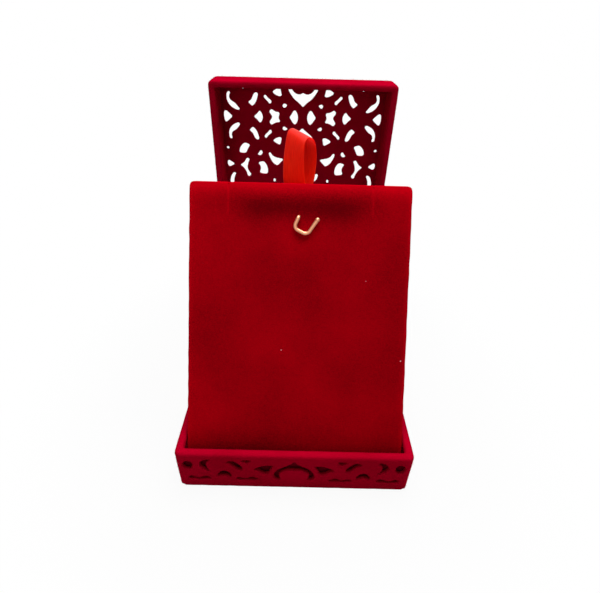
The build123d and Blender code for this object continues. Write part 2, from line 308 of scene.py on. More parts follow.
@dataclass(frozen=True)
class Satin:
    """Woven polyester satin ribbon: long floats along its length give a soft streaked gloss."""

    name: str = "satin_ribbon"
    deep: str = "D80E04"
    bright: str = "F01A08"
    thread_mm: float = 0.22
    # Across-to-along ratio of the thread pattern: its floats are long.
    float_ratio: float = 0.06
    relief_mm: float = 0.03
    # Thin ribbon lets light through, so its shaded side stays a saturated red.
    glow: float = 0.85
    glow_reach: tuple[float, float, float] = (1.0, 0.12, 0.06)
    glow_mm: float = 3.0

    def material(self) -> bpy.types.Material:
        """Build the satin's material, whose threads follow the piece's UV map."""
        graph = Surface(self.name)
        place = graph.add("TexCoord").outputs["UV"]
        stretch = graph.add("Mapping", Vector=place,
                            Scale=(1 / self.thread_mm, self.float_ratio / self.thread_mm, 1))
        threads = graph.add("TexNoise", Vector=stretch.outputs[0], Scale=1.0, Detail=2.0,
                            Roughness=0.6).outputs["Fac"]
        colour = coloured(graph.add("ValToRGB", Fac=threads), (0.3, self.deep),
                          (0.7, self.bright))
        bump = graph.add("Bump", Height=threads, Strength=0.25, Distance=self.relief_mm * MM)
        graph.fill(graph.shader, Base_Color=colour, Roughness=0.42, Normal=bump.outputs["Normal"],
                   Specular_IOR_Level=0.25, Specular_Tint=linear("FF6040"), Sheen_Weight=0.15,
                   Sheen_Roughness=0.3, Sheen_Tint=linear("FF2010"), Anisotropic=0.55,
                   Subsurface_Weight=self.glow, Subsurface_Radius=self.glow_reach,
                   Subsurface_Scale=self.glow_mm * MM)
        return graph.material


@dataclass(frozen=True)
class Paper:
    """Coloured backing paper: matte, with short fibres and faint mottling."""

    name: str
    deep: str
    bright: str
    fibre_mm: float = 0.5
    relief_mm: float = 0.05

    def material(self) -> bpy.types.Material:
        """Build the paper's material."""
        graph = Surface(self.name)
        place = graph.add("TexCoord").outputs["Object"]
        fibres = graph.add("TexNoise", Vector=place, Scale=1 / (self.fibre_mm * MM), Detail=6.0,
                           Roughness=0.7, Distortion=0.6).outputs["Fac"]
        colour = coloured(graph.add("ValToRGB", Fac=fibres), (0.35, self.deep),
                          (0.65, self.bright))
        bump = graph.add("Bump", Height=fibres, Strength=0.2, Distance=self.relief_mm * MM)
        graph.fill(graph.shader, Base_Color=colour, Roughness=0.82, Normal=bump.outputs["Normal"])
        return graph.material


@dataclass(frozen=True)
class Wire:
    """Drawn metal wire: fine marks along it soften the gloss."""

    name: str
    colour: str
    roughness: float
    # Shares of the roughness between which the marks vary it.
    worn: tuple[float, float] = (0.8, 1.3)
    mark_mm: float = 0.12
    relief_mm: float = 0.01

    def material(self) -> bpy.types.Material:
        """Build the wire's material."""
        graph = Surface(self.name)
        place = graph.add("TexCoord").outputs["Object"]
        marks = graph.add("TexNoise", Vector=place, Scale=1 / (self.mark_mm * MM),
                          Detail=3.0).outputs["Fac"]
        rough = graph.add("MapRange", Value=marks, To_Min=self.roughness * self.worn[0],
                          To_Max=self.roughness * self.worn[1])
        bump = graph.add("Bump", Height=marks, Strength=0.12, Distance=self.relief_mm * MM)
        graph.fill(graph.shader, Base_Color=linear(self.colour), Metallic=1.0,
                   Roughness=rough.outputs[0], Normal=bump.outputs["Normal"])
        return graph.material


class Finish(Enum):
    """The box's finishes."""

    # Rayon flock on moulded plastic: crimson, dull face-on and bright along rounded edges.
    FLOCK = Pile("rayon_flock", "780010", "A80022", 0.3, "FF0030")
    # Loose tips of the same flock, painted paler as painted light shining through them.
    NAP = Pile("flock_tips", "900014", "B80026", 0.35, "FF0838", bump=0.0)
    # Woven velvet on the card: a truer red with a longer, denser pile, with painted shade and
    # painted highlight from a point attribute.
    VELVET = Pile("woven_velvet", "580006", "AA000E", 0.25, "FF0000", sheen_roughness=0.3,
                  fibre_mm=0.34, patch_mm=22.0, bump=0.35, painted_shading=0.14, lint_mm=8.0)
    # The liner seen through the cut-work, with the floor pad and the card rest: the same flock
    # painted darker, as painted shade in the hollows.
    FLOCK_PAINTED_SHADE = Pile("liner_painted_shade", "46000A", "660014", 0.1, "FF0030")
    SATIN = Satin()
    BACKING = Paper("backing_paper", "6A0A12", "7E1018")
    BOARD = Paper("grey_board", "9A8878", "B0A08E")
    GOLD = Wire("gold_plated_wire", "C48868", 0.34)
    STEEL = Wire("drawn_steel", "B8B8BA", 0.3)

    def material(self) -> bpy.types.Material:
        """Return the finish's material, built on its first use."""
        return bpy.data.materials.get(self.value.name) or self.value.material()


def dress(piece: bpy.types.Object, finish: Finish) -> None:
    """Give a whole piece or CAD node one finish."""
    if not piece.data.materials:
        piece.data.materials.append(finish.material())
    for slot in piece.material_slots:
        slot.material = finish.material()


# ---- Flocked shells ----------------------------------------------------------------

@dataclass
class FlockedShell:
    """A moulded shell under its flock: every edge softened by the pile.

    The shell is remeshed in cells, smoothed, and raised by the pile. A pile below 0 keeps
    narrow cuts open, which the smoothing would close.
    """

    node: str
    body: str
    name: str
    cell_mm: float = 0.4
    smoothing: int = 3
    smooth_factor: float = 0.5
    pile_mm: float = 0.12
    ripple_mm: float = 0.05
    ripple_length_mm: float = 3.0
    nap_per_mm2: float = 1.1
    nap_mm: float = 0.55
    seed: int = 4

    def build(self) -> None:
        """Make the shell and its loose nap, and put both on their body."""
        shell = self.soften()
        dress(shell, Finish.FLOCK)
        nap = Nap(self.name + "_nap", self.nap_per_mm2, self.nap_mm, self.seed).build(shell)
        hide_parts(self.node)
        for piece in (shell, nap):
            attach(piece, self.body)
            LOG.info("%s: %d faces", piece.name, len(piece.data.polygons))

    def soften(self) -> bpy.types.Object:
        """Copy the CAD node, round its edges and raise the pile with faint ripples."""
        mesh = frame["nodes"][self.node].data.copy()
        mesh.materials.clear()
        work = bmesh.new()
        work.from_mesh(mesh)
        bmesh.ops.remove_doubles(work, verts=work.verts, dist=WELD_MM * MM)
        work.to_mesh(mesh)
        work.free()
        shell = new_piece(self.name, mesh)
        remesh = shell.modifiers.new("cells", "REMESH")
        remesh.mode = "VOXEL"
        remesh.voxel_size = self.cell_mm * MM
        smooth = shell.modifiers.new("soften", "SMOOTH")
        smooth.factor = self.smooth_factor
        smooth.iterations = self.smoothing
        bake_modifiers(shell)
        places = [vertex.co.copy() for vertex in shell.data.vertices]
        normals = [vertex.normal.copy() for vertex in shell.data.vertices]
        raised = []
        for place, normal in zip(places, normals):
            ripple = noise.noise(place / (self.ripple_length_mm * MM)) * self.ripple_mm
            raised.extend(place + normal * (self.pile_mm + ripple) * MM)
        shell.data.vertices.foreach_set("co", raised)
        shell.data.update()
        return shell


@dataclass
class Nap:
    """Loose fibre tips standing on a flocked surface."""

    name: str
    per_mm2: float
    length_mm: float
    seed: int
    width_mm: float = 0.06
    tip_share: float = 0.25
    # Height of a fibre's middle over the surface as a share of its length: its root is sunk.
    middle_share: float = 0.3
    lean: float = 0.7
    turn: float = 6.28
    sizes: tuple[float, float] = (0.5, 1.15)

    def fibre(self) -> bpy.types.Object:
        """Make one tapered fibre, standing on the origin."""
        root = self.width_mm / 2 * MM
        work = bmesh.new()
        bmesh.ops.create_cone(work, cap_ends=True, segments=3, radius1=root,
                              radius2=root * self.tip_share, depth=self.length_mm * MM)
        bmesh.ops.translate(work, verts=work.verts,
                            vec=(0, 0, self.length_mm * self.middle_share * MM))
        mesh = bpy.data.meshes.new("fibre")
        work.to_mesh(mesh)
        work.free()
        return new_piece("fibre", mesh)

    def tree(self, fibre: bpy.types.Object) -> bpy.types.NodeTree:
        """Build the node group that scatters the fibre over a surface.

        Args:
            fibre: The fibre to copy.

        Returns:
            The node group, with Density and Seed inputs.
        """
        tree = bpy.data.node_groups.new("nap_scatter", "GeometryNodeTree")
        for name, way, kind in (("Geometry", "INPUT", "Geometry"), ("Density", "INPUT", "Float"),
                                ("Seed", "INPUT", "Int"), ("Geometry", "OUTPUT", "Geometry")):
            tree.interface.new_socket(name, in_out=way, socket_type="NodeSocket" + kind)
        graph = Graph(tree, prefix="")
        start = graph.add("NodeGroupInput").outputs
        scatter = graph.add("GeometryNodeDistributePointsOnFaces", Mesh=start["Geometry"],
                            Density=start["Density"], Seed=start["Seed"]).outputs
        lean = graph.add("FunctionNodeRandomValue", {"data_type": "FLOAT_VECTOR"},
                         Min=(-self.lean, -self.lean, 0), Max=(self.lean, self.lean, self.turn))
        turn = graph.add("FunctionNodeRotateEuler", {"space": "LOCAL"},
                         Rotation=scatter["Rotation"], Rotate_By=lean.outputs["Value"])
        size = graph.add("FunctionNodeRandomValue", Min=self.sizes[0], Max=self.sizes[1])
        source = graph.add("GeometryNodeObjectInfo", Object=fibre)
        copies = graph.add("GeometryNodeInstanceOnPoints", Points=scatter["Points"],
                           Instance=source.outputs["Geometry"],
                           Rotation=turn.outputs["Rotation"], Scale=size.outputs[1])
        real = graph.add("GeometryNodeRealizeInstances", Geometry=copies.outputs["Instances"])
        paint = graph.add("GeometryNodeSetMaterial", Geometry=real.outputs["Geometry"],
                          Material=Finish.NAP.material())
        graph.add("NodeGroupOutput", Geometry=paint.outputs["Geometry"])
        return tree

    def build(self, surface: bpy.types.Object) -> bpy.types.Object:
        """Scatter the nap over a surface as a mesh of its own."""
        fibre = self.fibre()
        nap = new_piece(self.name, surface.data.copy())
        modifier = nap.modifiers.new("nap", "NODES")
        modifier.node_group = self.tree(fibre)
        ids = {item.name: item.identifier for item in modifier.node_group.interface.items_tree
               if item.in_out == "INPUT"}
        modifier[ids["Density"]] = self.per_mm2 / MM ** 2
        modifier[ids["Seed"]] = self.seed
        bake_modifiers(nap)
        bpy.data.objects.remove(fibre)
        return nap


# ---- Display card ------------------------------------------------------------------

@dataclass(frozen=True)
class CardPlane:
    """The card's own frame: x across, up from its crease, out of its face."""

    crease: Vector
    lean: float

    @classmethod
    def from_joint(cls) -> "CardPlane":
        """Read the crease and the card's angle from its joint, which ends at flat."""
        joint = joint_record("card_fold")
        return cls(Vector(joint["pos_m"]), math.radians(joint["range_deg"][1]))

    @property
    def up(self) -> Vector:
        """Direction up the card."""
        return Vector((0, math.cos(self.lean), math.sin(self.lean)))

    @property
    def out(self) -> Vector:
        """Direction out of the card's face."""
        return Vector((0, -math.sin(self.lean), math.cos(self.lean)))

    def place(self, x: float, up: float, out: float) -> Vector:
        """Turn millimetres in the card's frame into a point in metres."""
        return self.crease + (Vector((x, 0, 0)) + self.up * up + self.out * out) * MM


@dataclass(frozen=True)
class PaintedPatch:
    """A soft-edged patch on the card's face: painted shade where its strength is above 0, painted
    light below 0.
    """

    strength: float
    half_width_mm: float
    power: int
    drop_mm: float
    half_height_mm: float

    def at(self, x: float, drop: float) -> float:
        """Return the patch's strength at x across and drop below the card's top."""
        return self.strength * math.exp(-((x / self.half_width_mm) ** self.power)
                                        - ((drop - self.drop_mm) / self.half_height_mm) ** 2)


@dataclass(frozen=True)
class PaintedShadingMap:
    """Painted shade on the velvet above 0, and painted highlight below 0."""

    # For each edge, the strength there and the distance over which it fades, in mm: painted shade
    # at the foot by the crease, and painted highlight along the top and the side edges.
    foot: tuple[float, float] = (1.0, 4.0)
    top: tuple[float, float] = (-1.4, 2.2)
    side: tuple[float, float] = (-0.9, 0.6)
    # Painted highlight along the slits.
    slit: float = -0.5
    # Painted shade above the hook, and a little painted light below it.
    patches: tuple[PaintedPatch, ...] = (PaintedPatch(1.0, 19.0, 4, 7.0, 4.2),
                                      PaintedPatch(-0.5, 7.5, 2, 17.5, 4.5))

    def at(self, x: float, up: float, drop: float, inside: float, slit: float) -> float:
        """Return the painted shade at a place; a value below 0 is painted highlight.

        Args:
            x: Place across the card, in mm.
            up: Height above the crease, in mm.
            drop: Distance below the card's top edge, in mm.
            inside: Distance inside the nearer side edge, in mm.
            slit: Share of a slit's full depth.

        Returns:
            0 where nothing is painted, 1 for full painted shade, and below 0 for painted
            highlight.
        """
        edges = ((self.foot, up), (self.top, max(drop, 0)), (self.side, max(inside, 0)))
        laid = sum(strength * math.exp(-distance / reach) for (strength, reach), distance in edges)
        return laid + self.slit * slit + sum(patch.at(x, drop) for patch in self.patches)


@dataclass
class VelvetFace:
    """Velvet laid over the board and folded round its edges, with two chain slits."""

    plane: CardPlane
    width_mm: float
    length_mm: float
    lie: PaintedShadingMap = PaintedShadingMap()
    step_mm: float = 0.8
    # The face starts above the crease and ends inside the card's other edges.
    foot_mm: float = 0.3
    inset_mm: float = 0.35
    corner_mm: float = 1.1
    slit_x_mm: float = 21.3
    slit_length_mm: float = 9.0
    slit_reach_mm: float = 0.32
    slit_depth_mm: float = 0.12
    # How far the slit bends outwards at its foot, and the span over which it fades in.
    slit_flare_mm: float = 0.4
    slit_fade_mm: tuple[float, float] = (-0.5, 0.6)
    slit_columns_mm: tuple[float, ...] = (-0.7, -0.42, -0.2, 0.0, 0.2, 0.42, 0.7)
    column_gap_mm: float = 0.25
    roll_mm: float = 5.0
    roll_drop_mm: float = 0.55
    side_roll_mm: float = 1.6
    side_drop_mm: float = 0.18
    # Puckers beside the slits and slow waves: height, then size across and along the card.
    pucker_mm: tuple[float, float, float] = (0.16, 2.2, 7.0)
    wave_mm: tuple[float, float, float] = (0.09, 11.0, 13.0)
    wave_slice: float = 2.4
    # The side edges' waver: height, length and the band inside the edge that it moves.
    waver_mm: tuple[float, float, float] = (0.13, 3.6, 2.0)
    waver_slice: tuple[float, float] = (3.0, 0.7)
    # The turned edge, from the face round the board: distance outwards and height.
    edge_mm: tuple[tuple[float, float], ...] = (
        (0.22, -0.08), (0.38, -0.3), (0.45, -0.7), (0.45, -1.5), (0.42, -2.3), (0.25, -2.68),
        (-0.2, -2.8), (-1.5, -2.82),
    )
    # The turned edge's end, counted from the margin it covers behind the card.
    margin_mm: float = 6.0
    hem_mm: tuple[tuple[float, float], ...] = ((0.0, -2.82), (-0.2, -2.6), (-0.2, -0.5))
    corner_share: float = 0.76
    # How fast the face's relief dies out down the edge, per mm.
    relief_fade: float = 1.5

    @property
    def half_mm(self) -> float:
        """Half the width of the flat face."""
        return self.width_mm / 2 - self.inset_mm

    @property
    def top_mm(self) -> float:
        """Height of the flat face's top edge."""
        return self.length_mm - self.inset_mm

    def stops(self, low: float, high: float, extra: tuple[float, ...] = ()) -> list[float]:
        """List even places from low to high, with extra ones put in."""
        count = round((high - low) / self.step_mm)
        even = [low + (high - low) * index / count for index in range(count + 1)]
        clear = [v for v in even
                 if all(abs(v - e) > self.column_gap_mm for e in extra) or v in (low, high)]
        return sorted(clear + list(extra))

    def slit(self, x: float, up: float) -> float:
        """Depth of the slits' grooves at a place on the card."""
        reach = smoothstep(*self.slit_fade_mm, up - (self.length_mm - self.slit_length_mm))
        near = abs(x) - self.slit_x_mm - self.slit_flare_mm * (1 - reach)
        return self.slit_depth_mm * reach * math.exp(-((near / self.slit_reach_mm) ** 2))

    def height(self, x: float, up: float) -> float:
        """Height of the face, with its rolled top, puckers beside the slits and waves."""
        top = self.length_mm - up
        roll = self.roll_drop_mm * max(1 - top / self.roll_mm, 0) ** 2
        pucker, wide, long = self.pucker_mm
        pucker *= math.exp(-(((abs(x) - self.slit_x_mm) / wide) ** 2) - (top / long) ** 2)
        wave, wide, long = self.wave_mm
        wave *= noise.noise(Vector((x / wide, up / long, self.wave_slice)))
        inside = self.width_mm / 2 - abs(x)
        side = self.side_drop_mm * max(1 - inside / self.side_roll_mm, 0) ** 2
        return wave + pucker - roll - side - self.slit(x, up)

    def painted_shading(self, point: Vector) -> float:
        """Return the painted shade at a point of the velvet, in metres; below 0 it is painted
        highlight.
        """
        offset = (point - self.plane.crease) / MM
        up, x = offset.dot(self.plane.up), offset.x
        return self.lie.at(x, up, self.length_mm - up, self.width_mm / 2 - abs(x),
                           self.slit(x, up) / self.slit_depth_mm)

    def outline(self, x: float, up: float) -> tuple[float, float]:
        """Round the free corners and let the side edges waver a little."""
        sign = math.copysign(1.0, x)
        left, low = self.half_mm - self.corner_mm, self.top_mm - self.corner_mm
        across, along = abs(x) - left, up - low
        if across > 0 and along > 0 and math.hypot(across, along) > self.corner_mm:
            shrink = self.corner_mm / math.hypot(across, along)
            x, up = sign * (left + across * shrink), low + along * shrink
        waver, long, band = self.waver_mm
        place, slice_at = self.waver_slice
        waver *= noise.noise(Vector((place * sign, up / long, slice_at)))
        return x + sign * waver * smoothstep(self.half_mm - band, self.half_mm, abs(x)), up

    def turned_edge(self, columns: list[float], rows: list[float], points: list[Vector],
                    faces: list[list[int]]) -> None:
        """Fold the velvet round the board and close it behind.

        Args:
            columns: Places of the face's columns, in mm.
            rows: Heights of the face's rows, in mm.
            points: The velvet's points so far, which this adds to.
            faces: The velvet's faces so far, which this adds to.
        """
        wide, tall = len(columns), len(rows)
        rim = grid_rim(wide, tall)
        loop = [r * wide + c for r, c in rim]
        hem = [(offset - self.margin_mm, drop) for offset, drop in self.hem_mm]
        for offset, drop in (*self.edge_mm, *hem):
            ring = []
            for r, c in rim:
                x, up = columns[c], rows[r]
                across = (c == wide - 1) - (c == 0)
                along = (r == tall - 1) - (r == 0)
                share = self.corner_share if across and along else 1.0
                cut = self.slit(x, up) if along > 0 else 0.0
                sink = (self.height(x, up) + cut) * math.exp(drop * self.relief_fade)
                x, up = self.outline(x, up)
                ring.append(len(points))
                points.append(self.plane.place(x + across * share * offset,
                                               up + along * (share * offset - cut), drop + sink))
            faces += [[loop[i], loop[i - 1], ring[i - 1], ring[i]] for i in range(len(rim))]
            loop = ring
        faces.append(loop)

    def build(self) -> None:
        """Make the velvet as one closed piece."""
        name = "card_velvet_wrap"
        slits = [side * self.slit_x_mm + offset for side in (-1, 1)
                 for offset in self.slit_columns_mm]
        columns = self.stops(-self.half_mm, self.half_mm, tuple(sorted(slits)))
        rows = self.stops(self.foot_mm, self.top_mm)
        points = [self.plane.place(*self.outline(x, up), self.height(x, up))
                  for up in rows for x in columns]
        faces = grid_faces(len(columns), len(rows))
        self.turned_edge(columns, rows, points, faces)
        velvet = new_piece(name, mesh_from(name, points, faces))
        # Painted shade and painted highlight, one value for each point of the velvet.
        painted_shading = velvet.data.attributes.new(PAINTED_SHADING, "FLOAT", "POINT")
        painted_shading.data.foreach_set("value", [self.painted_shading(point) for point in points])
        dress(velvet, Finish.VELVET)
        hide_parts("card_velvet")
        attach(velvet, "card")
        LOG.info("%s: %d faces", name, len(velvet.data.polygons))


@dataclass
class CreaseVelvet:
    """The velvet's lower end, which bends over the crease and down the flange."""

    plane: CardPlane
    width_mm: float
    thickness_mm: float = 0.5
    across: int = 40
    # Down the flange: distance in front of the crease and drops below it.
    proud_mm: float = 0.32
    drops_mm: tuple[float, ...] = (6.0, 4.5, 3.0, 2.0, 1.2, 0.6)
    # Up the card: height above the crease and height over the card's plane.
    rise_mm: tuple[tuple[float, float], ...] = (
        (0.1, 0.05), (0.6, 0.08), (1.2, 0.06), (1.8, -0.05), (2.4, -0.2), (3.0, -0.4),
    )
    # Where the bend starts, from the crease along Y and Z, and where it ends, up and out.
    bend_from_mm: tuple[float, float] = (-0.3, -1.5)
    bend_to_mm: tuple[float, float] = (1.5, 0.2)

    def path(self) -> list[tuple[float, float]]:
        """List the strip's (y, z) places in mm, from the flange up to the card."""
        crease = self.plane.crease / MM
        low = [(crease.y - self.proud_mm, crease.z - drop) for drop in self.drops_mm]
        upper = [self.plane.place(0, up, out) / MM for up, out in self.rise_mm]
        return low + [(point.y, point.z) for point in upper]

    def build(self) -> None:
        """Make the strip between the tray and the card."""
        name, path = "crease_velvet", self.path()
        normals = []
        for index in range(len(path)):
            before, after = path[max(index - 1, 0)], path[min(index + 1, len(path) - 1)]
            run = Vector((after[0] - before[0], after[1] - before[1])).normalized()
            normals.append(Vector((-run.y, run.x)))
        points = []
        for side in (0.0, -self.thickness_mm):
            for (y, z), normal in zip(path, normals):
                for step in range(self.across + 1):
                    x = self.width_mm * (step / self.across - 0.5)
                    points.append(Vector((x, y + normal.x * side, z + normal.y * side)) * MM)
        wide, tall = self.across + 1, len(path)
        back = wide * tall
        faces = grid_faces(wide, tall) + grid_faces(wide, tall, back)
        rim = [r * wide + c for r, c in grid_rim(wide, tall)]
        faces += [[rim[i - 1], rim[i], rim[i] + back, rim[i - 1] + back] for i in range(len(rim))]
        strip = new_piece(name, mesh_from(name, points, faces))
        dress(strip, Finish.VELVET)
        end = self.plane.place(0, *self.bend_to_mm)
        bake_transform(strip)
        LOG.info("%s: %d faces", name, len(strip.data.polygons))


@dataclass
class RibbonPull:
    """Satin ribbon folded into a loop and glued behind the card's top edge."""

    plane: CardPlane
    top_mm: float
    rear_mm: float
    width_mm: float = 7.0
    thickness_mm: float = 0.22
    # The loop turns about its upright line from its base to its crest, where one edge drops.
    base_turn_deg: float = 16.0
    crest_turn_deg: float = 38.0
    crest_slope_mm: float = 1.9
    # Its middle line stands behind the card, drifts sideways, and parts its strands at the foot.
    set_back_mm: float = 3.6
    drift_mm: float = -0.9
    drift_per_mm: float = 0.06
    spread: float = 0.4
    across: int = 10
    per_span: int = 8
    tail_mm: float = 8.0
    tail_steps: int = 14
    # Share of an end's length in which it settles against the card, and its places behind it.
    settled_share: float = 0.75
    glued_mm: tuple[float, float] = (0.35, 0.75)
    # A place, up and out, and a line that leans back from the card.
    crumple_lean_deg: float = 18.0
    crumple_at_mm: tuple[float, float] = (-0.4, -1.0)
    crumple_keep: float = 0.07
    # Height above the card's top edge and distance from the loop's middle line, up the front
    # strand, over the crest and down the rear strand.
    loop_mm: tuple[tuple[float, float], ...] = (
        (-0.5, 1.5), (2.6, 2.4), (7.0, 3.1), (11.2, 3.3), (14.0, 3.0), (15.5, 1.9), (15.9, 0.2),
        (15.4, -1.5), (13.2, -2.7), (8.6, -3.0), (3.8, -2.5), (-0.5, -1.7),
    )

    @property
    def crest_mm(self) -> float:
        """Height of the loop's highest knot."""
        return max(height for height, _ in self.loop_mm)

    def row(self, height: float, bulge: float) -> tuple[Vector, Vector]:
        """Place the ribbon at a height above the card's edge, bulge away from its middle line.

        Args:
            height: Height above the card's top edge, in mm.
            bulge: Distance in front of the loop's middle line, in mm.

        Returns:
            The middle point (x, up, out) and the half-width vector, in mm.
        """
        share = smoothstep(-0.1, 1.0, height / self.crest_mm)
        turn = math.radians(self.base_turn_deg
                            + (self.crest_turn_deg - self.base_turn_deg) * share)
        drift = (self.drift_mm + self.drift_per_mm * height
                 - self.spread * bulge * (1 - share))
        middle = Vector((drift - math.sin(turn) * bulge, self.top_mm + height,
                         self.rear_mm - self.set_back_mm + math.cos(turn) * bulge))
        half = Vector((math.cos(turn), 0, math.sin(turn))) * self.width_mm / 2
        half.y = -self.crest_slope_mm * share ** 2
        return middle, half

    def smooth_path(self, knots: tuple[tuple[float, float], ...]) -> list[Vector]:
        """Run a Catmull-Rom curve through (height, bulge) knots."""
        ends = [Vector(knots[0]) * 2 - Vector(knots[1]), Vector(knots[-1]) * 2 - Vector(knots[-2])]
        full = [ends[0]] + [Vector(knot) for knot in knots] + [ends[1]]
        path = []
        for a, b, c, d in zip(full, full[1:], full[2:], full[3:]):
            for step in range(self.per_span):
                t = step / self.per_span
                path.append(0.5 * (2 * b + (c - a) * t + (2 * a - 5 * b + 4 * c - d) * t * t
                                   + (3 * b - a - 3 * c + d) * t ** 3))
        return path + [full[-2]]

    def strip(self, name: str, rows: list[tuple[Vector, Vector]]) -> bpy.types.Object:
        """Make a ribbon from rows of (middle, half width) vectors in the card's frame.

        Args:
            name: The piece's name.
            rows: Middle point (x, up, out) and half-width vector of each row, in mm.

        Returns:
            The dressed ribbon, with threads running along its UV map in millimetres.
        """
        points = []
        for middle, half in rows:
            for step in range(self.across + 1):
                share = 2 * step / self.across - 1
                points.append(self.plane.place(*(middle + half * share)))
        wide = self.across + 1
        mesh = bpy.data.meshes.new(name)
        mesh.from_pydata([tuple(point) for point in points], [], grid_faces(wide, len(rows)))
        uv = mesh.uv_layers.new(name="threads")
        run = [0.0]
        for (a, _), (b, _) in zip(rows, rows[1:]):
            run.append(run[-1] + (b - a).length)
        for loop in mesh.loops:
            row, column = divmod(loop.vertex_index, wide)
            uv.data[loop.index].uv = (self.width_mm * column / self.across, run[row])
        piece = new_piece(name, mesh)
        solid = piece.modifiers.new("thickness", "SOLIDIFY")
        solid.thickness = self.thickness_mm * MM
        solid.offset = 0.0
        round_off = piece.modifiers.new("round", "SUBSURF")
        round_off.levels = round_off.render_levels = 1
        bake_modifiers(piece)
        dress(piece, Finish.SATIN)
        return piece

    def loop(self) -> bpy.types.Object:
        """Make the loop above the card's top edge."""
        rows = [self.row(height, bulge) for height, bulge in self.smooth_path(self.loop_mm)]
        return self.strip("ribbon_loop", rows)

    def tail(self, name: str, foot: tuple[float, float], behind_mm: float) -> bpy.types.Object:
        """Make one end of the ribbon, from the loop's foot down to where it is glued.

        Args:
            name: The piece's name.
            foot: The loop's knot that this end hangs from.
            behind_mm: Distance of the glued end behind the card.

        Returns:
            The ribbon's end.
        """
        start, start_half = self.row(*foot)
        rows = []
        for index in range(self.tail_steps + 1):
            share = index / self.tail_steps
            settle = smoothstep(0.0, self.settled_share, share)
            glued = Vector((0, start.y, self.rear_mm - behind_mm))
            middle = start.lerp(glued, settle) - Vector((0, self.tail_mm * share, 0))
            half = start_half.lerp(Vector((self.width_mm / 2, 0, 0)), settle)
            rows.append((middle, half.normalized() * self.width_mm / 2))
        return self.strip(name, rows)

    def build(self) -> None:
        """Make the loop and its two glued ends."""
        loop = self.loop()
        ends = [self.tail("ribbon_end_front", self.loop_mm[0], self.glued_mm[0]),
                self.tail("ribbon_end_rear", self.loop_mm[-1], self.glued_mm[1])]
        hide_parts("pull_ribbon")
        for piece in (loop, *ends):
            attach(piece, "card")
            LOG.info("%s: %d faces", piece.name, len(piece.data.polygons))
        up, out = self.crumple_at_mm
        anchor = self.plane.place(0, self.top_mm + up, out)
        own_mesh(loop)


@dataclass
class DisplayCard:
    """The velvet card with its hook and ribbon."""

    plane: CardPlane = field(default_factory=CardPlane.from_joint)
    # Height of the backing paper's outer side over the card's plane.
    rear_mm: float = -2.6
    finishes: tuple[tuple[str, Finish], ...] = (
        ("pendant_hook", Finish.GOLD), ("card_board", Finish.BOARD),
        ("card_backing", Finish.BACKING), ("ribbon_patch", Finish.BACKING),
    )

    def measure(self) -> tuple[float, float]:
        """Return the card's width and length in mm, from the CAD velvet."""
        low, high = (Vector(corner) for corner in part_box("card_velvet"))
        rise = (high.z - self.plane.crease.z) / MM
        return (high.x - low.x) / MM, rise / math.sin(self.plane.lean)

    def build(self) -> None:
        """Make the card's soft pieces and dress its CAD nodes."""
        width, length = self.measure()
        LOG.info("card %.1f by %.1f mm", width, length)
        VelvetFace(self.plane, width, length).build()
        CreaseVelvet(self.plane, width).build()
        RibbonPull(self.plane, length, self.rear_mm).build()
        for node, finish in self.finishes:
            dress(frame["nodes"][node], finish)


@dataclass
class Box:
    """The tray, the lid and the hinge pin."""

    finishes: tuple[tuple[str, Finish], ...] = (
        # The liner, floor pad and card rest take flock painted darker as painted shade.
        ("base_liner", Finish.FLOCK_PAINTED_SHADE), ("base_floor_pad", Finish.FLOCK_PAINTED_SHADE),
        ("card_rest", Finish.FLOCK_PAINTED_SHADE), ("crease_cloth", Finish.VELVET),
        ("card_flange", Finish.BACKING), ("base_bottom", Finish.BACKING),
        ("hinge_pin", Finish.STEEL),
    )

    def build(self) -> None:
        """Flock the shells and dress the inner pieces."""
        FlockedShell("base_frame", "tray", "tray_walls", cell_mm=0.36, smoothing=2,
                     pile_mm=0.04).build()
        FlockedShell("lid_frame", "lid", "lid_walls", cell_mm=0.42, seed=5).build()
        FlockedShell("lid_panel", "lid", "lid_cutwork", cell_mm=0.385, smoothing=1,
                     pile_mm=-0.13, seed=6).build()
        for node, finish in self.finishes:
            dress(frame["nodes"][node], finish)


# ---- Studio ------------------------------------------------------------------------

@dataclass(frozen=True)
class Lamp:
    """A square soft lamp that points at the box."""

    name: str
    place_m: tuple[float, float, float]
    side_m: float
    power_w: float
    aim_m: tuple[float, float, float] = (0.0, 0.0, 0.04)

    def build(self) -> None:
        """Add the lamp to the scene."""
        light = bpy.data.lights.new(self.name, "AREA")
        light.size = self.side_m
        light.energy = self.power_w
        lamp = bpy.data.objects.new(self.name, light)
        lamp.location = self.place_m
        ahead = Vector(self.aim_m) - Vector(self.place_m)
        lamp.rotation_euler = ahead.to_track_quat("-Z", "Y").to_euler()
        bpy.context.scene.collection.objects.link(lamp)


